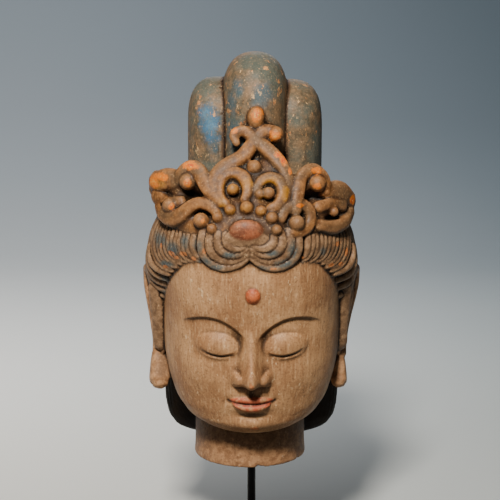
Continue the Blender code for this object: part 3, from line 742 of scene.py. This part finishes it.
def label_regions(surface, bm):
    """For each region, how much each point of the skin belongs to it, and where two masses meet."""
    numbers = mass_numbers(bm)
    tree = BVHTree.FromBMesh(bm)
    nearest = [tree.find_nearest(point)[2] for point in surface.points]
    labels = np.array([bm.faces[i].material_index for i in nearest])
    masses = np.array([numbers[i] for i in nearest])
    meets = masses[surface.first] != masses[surface.second]
    seam = np.zeros(len(masses))
    seam[surface.first[meets]] = 1
    seam[surface.second[meets]] = 1
    regions = {name: surface.spread((labels == i).astype(float), 2) for i, name in enumerate(REGIONS)}
    return regions, seam


def wear_and_painted_shade(surface):
    """Wear from how far each point stands out, painted shade from how deep it lies in its grooves, from 0 to
    1.
    """
    normals = surface.normals()
    raised = sunken = 0.0
    smooth = surface.points.copy()
    for times, reach, weight in WEAR_AND_SHADE_SCALES:
        smooth = surface.spread(smooth, times)
        height = ((surface.points - smooth) * normals).sum(axis=1) / PART / reach
        raised = raised + weight * np.clip(height, 0, 1)
        sunken = sunken + weight * np.clip(-height, 0, 1)
    return raised, sunken


def carve_fine(surface, regions, seam):
    """Unevenness of the knife, seams, the neck's chipped rim and small losses."""
    normals = surface.normals()
    parts = in_parts(surface.points)
    x, y, z = parts.T
    carved = regions["crown"] + regions["lock"] + 0.6 * regions["hair"] + 0.6 * regions["ear"]
    uneven = 0.5 * rough(parts, 13, 1) + 0.3 * rough(parts, 6, 2)
    out = 0.55 * carved * uneven + 0.22 * (1 - carved.clip(0, 1)) * rough(parts, 22, 3)
    out -= SEAM_DEPTH * surface.spread(seam, 1) * (0.2 + 0.8 * regions["lock"])
    rim = np.exp(-(z / 5) ** 2) * step_up(np.hypot(x - NECK_MIDDLE[0], y - NECK_MIDDLE[1]), 58, 64)
    out -= rim * RIM_CHIP * step_up(rough(parts, 12, 4) + 0.4 * rough(parts, 5, 5), 0.35, 0.9)
    out -= regions["knot"] * KNOT_CHIP * step_up(rough(parts, 15, 6) + 0.5 * rough(parts, 5, 7), 0.45, 0.6)
    surface.points += normals * (out * PART)[:, None]


def face_paint(parts):
    """Where the lips are painted, and the thin dark lines of brows, eyes and mouth."""
    x, y, z = (parts - FACE_MIDDLE).T
    side, z = np.abs(x), z * math.cos(NOD) - y * math.sin(NOD)
    front = step_up(-y, 60, 80)
    across = side / MOUTH_HALF
    line = mouth_line(across)
    upper, lower = UPPER_LIP * arc_share(across), LOWER_LIP * arc_share(across / LOWER_LIP_SHARE)
    lips = step_up(line + upper - z, -0.8, 0.8) * step_up(z - line + lower, -0.8, 0.8) * (across < 1)
    brows = np.exp(-((z - brow_height(side) + 0.4) / 1.7) ** 2) * step_up(side, 8, 16)
    brows = brows * (1 - step_up(side, 74, 82))
    reach = eye_across(side)
    eyes = np.exp(-((z - slit_height(reach) + 2.2) / 1.7) ** 2) * arc_share(reach / 1.08)
    parting = 0.8 * np.exp(-((z - line) / 1.1) ** 2) * (across < 1.05)
    return lips * front, np.maximum(np.maximum(0.75 * brows, eyes), parting) * front


def paint_fields(surface, regions, seam, raised, sunken):
    """What the paint needs to know at each point of the skin, by name."""
    parts = in_parts(surface.points)
    height = parts[:, 2]
    facing = surface.normals()[:, 1]
    hidden = step_up(facing, -0.3, 0.3)
    rubbed = 0.7 * hidden * step_up(rough(parts, 24, 8), 0.2, 0.8)
    left_over = 0.8 * hidden * step_up(rough(parts, 45, 9), 0.0, 0.6)
    lips, lines = face_paint(parts)
    # Painted shade: the low back hair, the crown's deep hollows and the neck under the jaw, darkened where
    # shade falls, on the sides facing the front
    low_hair_shade = step_up(126 - height, 0, 30) * (1 - hidden) * regions["hair"]
    hollows = spots(parts, facing, HOLLOW_SHADE_SPOTS) * regions["crown"] * step_up(sunken, 0.0, 0.25)
    jaw_shadow = 0.55 * step_up(height, 16, 32) * (1 - hidden) * regions["neck"]
    front = {name: spots(parts, facing, table) for name, table in SPOTS.items()}
    return {
        **front,
        "orange": front["orange"] + rubbed,
        "blue": front["blue"] + left_over,
        **{name: regions[name] for name in COATS},
        "hair": regions["hair"] + regions["lock"],
        # Painted shade along the seams where masses meet
        "seam": surface.spread(seam, 1) * (0.35 + 0.2 * regions["lock"]),
        "raised": raised,
        # How deep a point lies, which darkens it as painted shade, less so on the skin
        "sunken": sunken * (1 - 0.3 * regions["skin"]),
        "lips": lips * regions["skin"],
        "lines": lines * regions["skin"],
        # Painted shade, near black, in the low back hair, the hooks' hollows and under the jaw
        "painted_shade": np.maximum(low_hair_shade, hollows) + jaw_shadow}


def carved_head():
    """The head's fine piece: one skin of all masses, softened, worn, labelled and thinned."""
    bm = head_masses()
    head = one_skin(bm, "carved_head_fine")
    surface = Surface(head.data)
    regions, seam = label_regions(surface, bm)
    bm.free()
    surface.fill_grooves(GROOVE_ROUNDS, 0.9 - 0.45 * regions["lock"] - 0.45 * regions["skin"])
    surface.points = surface.spread(surface.points, 1)
    carve_fine(surface, regions, seam)
    raised, sunken = wear_and_painted_shade(surface)
    surface.points[:, 2] = np.maximum(surface.points[:, 2], NECK_Z)
    low, high = (np.array(corner) for corner in HEAD_BOX)
    surface.points = np.clip(surface.points, low + BOX_INSET, high - BOX_INSET)
    for name, values in paint_fields(surface, regions, seam, raised, sunken).items():
        stored = head.data.attributes.new(name, "FLOAT", "POINT")
        stored.data.foreach_set("value", np.clip(values, 0, 1).astype(np.float32))
    fewer = head.modifiers.new("Fewer faces", "DECIMATE")
    fewer.ratio = min(1.0, FACES_KEPT / (2 * len(head.data.polygons)))
    apply_modifiers(head)
    head.data.shade_smooth()
    return head


class Paint:
    """A material, and short names for building its nodes."""

    def __init__(self, name):
        self.material = bpy.data.materials.new(name)
        self.material.use_nodes = True
        self.tree = self.material.node_tree
        self.place = self.node("ShaderNodeTexCoord", "Object", {})

    def set(self, socket, value):
        """Links a socket to an output, or gives it a plain value."""
        if isinstance(value, bpy.types.NodeSocket):
            self.tree.links.new(value, socket)
        else:
            socket.default_value = value

    def shaded(self, values):
        """Sets the shader's own inputs by name, and gives the material."""
        for name, value in values.items():
            self.set(self.tree.nodes["Principled BSDF"].inputs[name], value)
        return self.material

    def node(self, kind, output, inputs, **settings):
        """One output of a new node."""
        made = self.tree.nodes.new(kind)
        for key, value in settings.items():
            setattr(made, key, value)
        for key, value in inputs.items():
            self.set(made.inputs[key], value)
        return made.outputs[output]

    def noise(self, scale, detail, upright=1.0, shift=(0.0, 0.0, 0.0), rough=0.55):
        """Noise, drawn out along the height where upright is below 1."""
        place = {"Vector": self.place, "Scale": (1.0, 1.0, upright), "Location": shift}
        at = self.node("ShaderNodeMapping", "Vector", place)
        values = {"Vector": at, "Scale": scale, "Detail": detail, "Roughness": rough}
        return self.node("ShaderNodeTexNoise", "Fac", values)

    def attribute(self, name):
        """Value that is stored on the piece's points."""
        return self.node("ShaderNodeAttribute", "Fac", {}, attribute_name=name)

    def math(self, operation, first, second):
        return self.node("ShaderNodeMath", 0, {0: first, 1: second}, operation=operation)

    def times(self, first, second):
        return self.math("MULTIPLY", first, second)

    def between(self, value, low, high):
        """0 below low, 1 above high."""
        limits = {"Value": value, "From Min": low, "From Max": high}
        return self.node("ShaderNodeMapRange", "Result", limits, interpolation_type="SMOOTHSTEP")

    def faded(self, value, low, high, strength):
        """0 below low, the strength above high."""
        return self.times(self.between(value, low, high), strength)

    def mix(self, first, second, share, blend="MIX"):
        """First colour with a share of the second."""
        values = {0: share, 6: first, 7: second}
        return self.node("ShaderNodeMix", 2, values, data_type="RGBA", blend_type=blend)

    def layers(self, base, *coats):
        """Base colour under thin coats, each a colour and its share."""
        for *tint, share in coats:
            base = self.mix(base, color(*tint), share)
        return base

    def bump(self, height, strength, distance, **under):
        """Small relief, over an earlier one where given."""
        values = {"Strength": strength, "Distance": distance, "Height": height, **under}
        return self.node("ShaderNodeBump", "Normal", values)


class WornPaint(Paint):
    """Paint on old wood, with the stored values and the noise that its colours share."""

    def __init__(self, name):
        super().__init__(name)
        self.orange, self.blue = self.attribute("orange"), self.attribute("blue")
        self.raised, self.sunken = self.attribute("raised"), self.attribute("sunken")
        self.grain = self.noise(95, 7, 0.07, rough=0.62)
        self.cloud = self.noise(20, 5)
        self.mottle = self.noise(110, 5, shift=(0.3, 0.1, 0.7))
        self.fine = self.noise(420, 4, shift=(0.4, 0.9, 0.2))
        self.patchy = self.noise(85, 9, shift=(0.6, 0.3, 0.8), rough=0.72)
        self.specks = self.between(self.noise(170, 8, 0.5, (0.9, 0.2, 0.4), 0.72), 0.61, 0.66)

    def mottled(self, dark, light, low, high):
        """Two colours in small soft patches."""
        return self.layers(color(*dark), (*light, self.between(self.mottle, low, high)))

    def broken(self, mask, field, low, high, strength):
        """A mask with its edge broken up by a noise field."""
        shaken = self.math("ADD", mask, self.times(self.math("SUBTRACT", field, 0.5), 1.6))
        return self.faded(shaken, low, high, strength)


def color(red, green, blue):
    """Shader colour from an ordinary screen colour in 0 to 255."""
    shares = [value / 255 for value in (red, green, blue)]
    return (*(((v + 0.055) / 1.055) ** 2.4 if v > 0.0405 else v / 12.92 for v in shares), 1.0)


def skin_color(p):
    """Tan skin with grain, fine streaks, pale specks and a little orange."""
    streaks = p.noise(380, 5, 0.14, (0.5, 0.2, 0.9), 0.6)
    return p.layers(
        color(150, 107, 71),
        (186, 142, 99, p.between(p.cloud, 0.36, 0.66)),
        (116, 78, 48, p.faded(p.grain, 0.50, 0.74, 0.32)),
        (208, 166, 122, p.faded(p.grain, 0.48, 0.32, 0.25)),
        (104, 74, 50, p.faded(streaks, 0.51, 0.70, 0.40)),
        (220, 182, 138, p.faded(streaks, 0.47, 0.30, 0.40)),
        (224, 194, 152, p.times(p.specks, 0.6)),
        (190, 108, 62, p.broken(p.orange, p.mottle, 0.6, 0.9, 0.8)))


def ear_color(p):
    """Tan ears with darker clouds."""
    return p.layers(
        p.mottled((150, 108, 74), (188, 142, 102), 0.4, 0.6),
        (96, 78, 62, p.faded(p.cloud, 0.5, 0.62, 0.5)))


def neck_color(p):
    """Brown neck with pale specks."""
    return p.layers(
        p.mottled((132, 94, 64), (166, 124, 88), 0.4, 0.62),
        (214, 190, 160, p.times(p.specks, 0.35)))


def hair_color(p):
    """Brown hair with remains of grey-blue and orange."""
    return p.layers(
        p.mottled((112, 84, 60), (146, 114, 84), 0.38, 0.62),
        (76, 86, 84, p.broken(p.blue, p.patchy, 0.10, 0.75, 0.8)),
        (60, 80, 88, p.broken(p.blue, p.patchy, 0.55, 1.0, 0.6)),
        (196, 116, 58, p.broken(p.orange, p.patchy, 0.55, 0.80, 0.75)),
        (206, 172, 130, p.times(p.specks, 0.5)))


def crown_color(p):
    """Ochre crown, yellow in places, with painted shade in its grooves, and rubbed through to orange."""
    return p.layers(
        p.mottled((94, 60, 32), (134, 90, 48), 0.38, 0.62),
        (90, 72, 52, p.faded(p.cloud, 0.46, 0.60, 0.7)),
        (152, 102, 20, p.broken(p.attribute("yellow"), p.patchy, 0.4, 0.8, 0.8)),
        (166, 104, 52, p.faded(p.raised, 0.35, 0.9, 0.2)),
        # Painted shade in the crown's grooves
        (48, 30, 17, p.faded(p.sunken, 0.04, 0.35, 0.6)),
        (210, 112, 18, p.broken(p.orange, p.patchy, 0.45, 0.75, 0.95)),
        (182, 58, 18, p.broken(p.orange, p.cloud, 0.95, 1.08, 0.8)),
        (236, 180, 90, p.broken(p.orange, p.fine, 0.95, 1.1, 0.8)))


def topknot_color(p):
    """Grey-green topknot with blue, bright in one place, and flakes and chips of bare wood."""
    bright = p.attribute("bright")
    knot = p.layers(
        p.mottled((90, 78, 60), (122, 98, 72), 0.4, 0.6),
        (78, 90, 84, p.faded(p.cloud, 0.40, 0.58, 0.75)),
        (66, 90, 100, p.broken(p.blue, p.patchy, 0.25, 0.95, 0.75)),
        (42, 104, 146, p.broken(p.times(bright, 0.85), p.patchy, 0.30, 1.0, 0.85)),
        (104, 140, 158, p.broken(bright, p.fine, 0.70, 1.15, 0.6)))
    bare = p.mix(color(168, 92, 44), color(222, 168, 108), p.between(p.fine, 0.38, 0.6))
    flakes = p.noise(95, 8, 0.6, (0.7, 0.3, 0.3), 0.68)
    chips = p.noise(180, 6, 0.45, (0.2, 0.5, 0.8), 0.65)
    knot = p.mix(knot, bare, p.faded(flakes, 0.612, 0.642, 0.85))
    knot = p.layers(knot, (216, 176, 124, p.faded(chips, 0.63, 0.66, 0.8)))
    return p.mix(knot, bare, p.broken(p.times(p.orange, 0.75), p.patchy, 0.62, 0.72, 0.85))


def jewel_color(p):
    """Dull red."""
    return p.mottled((112, 62, 42), (150, 84, 54), 0.4, 0.6)


def mark_color(p):
    """Orange-red mark on the forehead, pale where it is rubbed."""
    return p.layers(
        p.mottled((166, 76, 42), (196, 96, 52), 0.4, 0.6),
        (226, 160, 110, p.faded(p.cloud, 0.54, 0.6, 0.6)))


COATS = {"skin": skin_color, "ear": ear_color, "neck": neck_color, "hair": hair_color, "crown": crown_color,
         "knot": topknot_color, "jewel": jewel_color, "mark": mark_color}


def painted_wood():
    """Old carved wood with worn paint: tan skin, grey-blue hair, ochre crown, blue topknot, with painted
    shade.
    """
    p = WornPaint("painted_wood")
    cracks = p.between(p.noise(170, 5, 0.08, (0.2, 0.6, 0.4)), 0.68, 0.73)
    specks = p.noise(200, 7, shift=(0.1, 0.7, 0.3), rough=0.7)
    # Where the near-black painted shade goes
    painted_shade = p.attribute("painted_shade")
    paint = color(120, 90, 64)
    for name, coat in COATS.items():
        paint = p.mix(paint, coat(p), p.attribute(name))
    paint = p.layers(
        paint,
        (166, 70, 42, p.times(p.attribute("lips"), p.between(p.mottle, 0.66, 0.46))),
        (206, 160, 116, p.faded(p.raised, 0.35, 1.0, 0.12)),
        # Painted shade in grooves and recesses, near black in the deepest
        (66, 42, 24, p.faded(p.sunken, 0.10, 0.55, 0.8)),
        (14, 8, 4, p.faded(p.sunken, 0.45, 1.0, 0.95)),
        # Painted shade along the seams where masses meet
        (26, 16, 9, p.times(p.attribute("seam"), p.between(p.mottle, 0.35, 0.6))),
        (40, 32, 26, p.times(p.attribute("lines"), 0.9)),
        (66, 44, 28, p.faded(specks, 0.64, 0.70, 0.45)),
        (60, 40, 26, p.times(cracks, 0.35)),
        (70, 48, 32, p.faded(p.fine, 0.52, 0.74, 0.5)),
        (226, 184, 136, p.faded(p.fine, 0.46, 0.26, 0.25)),
        # Painted shade, near black, in the low back hair, the hooks' hollows and under the jaw
        (12, 7, 4, p.times(painted_shade, 0.97)))
    relief = p.bump(p.grain, 0.5, 0.0008)
    relief = p.bump(p.math("SUBTRACT", p.mottle, p.times(cracks, 0.5)), 0.6, 0.0012, Normal=relief)
    return p.shaded({
        "Base Color": paint,
        "Roughness": p.math("ADD", 0.36, p.times(p.mottle, 0.4)),
        # Less reflection where the painted shade is, so it stays dark
        "Specular IOR Level": p.math("SUBTRACT", 0.32, p.times(painted_shade, 0.28)),
        "Normal": p.bump(p.fine, 0.5, 0.0005, Normal=relief)})


def black_steel():
    """Blackened steel with faint brushed streaks and dust."""
    p = Paint("black_steel_finish")
    streaks = p.noise(300, 4, 0.05)
    dust = p.between(p.noise(60, 5), 0.5, 0.8)
    return p.shaded({
        "Base Color": p.mix(color(22, 22, 23), color(46, 45, 44), dust),
        "Roughness": p.math("ADD", 0.35, p.times(streaks, 0.25)),
        "Metallic": 0.7,
        "Normal": p.bump(streaks, 0.15, 0.0002)})


def pale_floor():
    """Matt floor, greyer in front; painted shade makes it darker and bluer up its sweep and to the right."""
    p = Paint("pale_floor")
    across, back = (p.node("ShaderNodeSeparateXYZ", axis, {0: p.place}) for axis in "XY")
    near = p.mix(color(118, 118, 116), color(230, 228, 223), p.between(back, -0.35, 0.22))
    # Painted shade: darker up the sweep and to the right, standing in for light falling off
    sweep = p.mix(near, color(112, 122, 131), p.between(back, 0.0, 2.6))
    right = p.between(p.math("ADD", across, p.times(p.noise(2.0, 2), 0.2)), -0.9, 1.1)
    sweep = p.mix(sweep, p.mix(sweep, color(186, 200, 209), 1.0, "MULTIPLY"), right)
    return p.shaded({"Base Color": sweep, "Roughness": 0.9})


def sweep_floor():
    """Floor that bends up behind the object, its top just under the foot."""
    front, depth, bend, height, half_width = -2.5, 1.6, 0.9, 2.6, 4.0
    bend_steps = 12
    drop = 0.0002
    profile = [(front, 0.0), (depth, 0.0)]
    for i in range(1, bend_steps + 1):
        angle = math.pi / 2 * i / bend_steps
        profile.append((depth + bend * math.sin(angle), bend * (1 - math.cos(angle))))
    profile.append((depth + bend, height))
    bm = bmesh.new()
    left, right = ([bm.verts.new((x, y, z - drop)) for y, z in profile] for x in (-half_width, half_width))
    for i in range(len(profile) - 1):
        bm.faces.new((left[i], left[i + 1], right[i + 1], right[i]))
    mesh = bpy.data.meshes.new("floor")
    bm.to_mesh(mesh)
    bm.free()
    mesh.shade_smooth()
    mesh.materials.append(pale_floor())
    floor = new_object("floor", mesh)


def place_light(light, place, aim):
    """Hangs a light at its place and aims it."""
    made = new_object(light.name, light)
    made.location = place
    made.rotation_euler = (Vector(aim) - Vector(place)).to_track_quat("-Z", "Y").to_euler()


def lights():
    """Soft lights on the object, a spot on the backdrop and a faint cool surround."""
    for name, place, size, power, tint in LAMPS:
        lamp = bpy.data.lights.new(name, "AREA")
        lamp.energy, lamp.size, lamp.color = power, size, tint
        place_light(lamp, place, LAMPS_AIM)
    spot = bpy.data.lights.new("backdrop", "SPOT")
    spot.energy, spot.spot_size, spot.spot_blend, spot.shadow_soft_size = 260, 1.5, 1.0, 0.4
    place_light(spot, (-0.7, 0.4, 2.2), (-0.5, 1.7, 0))
    world = bpy.data.worlds.new("studio")
    world.use_nodes = True
    surround = world.node_tree.nodes["Background"]
    surround.inputs["Color"].default_value = (0.62, 0.68, 0.74, 1.0)
    surround.inputs["Strength"].default_value = 0.035
    bpy.context.scene.world = world


def camera():
    """Camera two metres off, looking down by 12 degrees at the middle of the head."""
    elevation, distance, view_height, sensor = math.radians(12), 2.0, 0.6, 36.0
    left, above_neck = 0.0018, 0.2515
    target = Vector((-left, 0.0, NECK_Z + above_neck))
    data = bpy.data.cameras.new("camera")
    data.sensor_width = sensor
    data.lens = sensor * distance / view_height
    made = new_object("camera", data)
    back = Vector((0, -math.cos(elevation), math.sin(elevation)))
    made.location = target + back * distance
    made.rotation_euler = (-back).to_track_quat("-Z", "Y").to_euler()
    bpy.context.scene.camera = made


def main():
    """Dresses the frame's pieces and sets them in a small studio."""
    camera()
    head = carved_head()
    head.data.materials.clear()
    head.data.materials.append(painted_wood())
    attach(head, "root")
    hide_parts("carved_head")
    steel = black_steel()
    for node in ("rod", "foot_plate"):
        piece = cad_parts[node]
        piece.data.materials.clear()
        piece.data.materials.append(steel)
    sweep_floor()
    lights()


main()
bpy.context.view_layer.update()
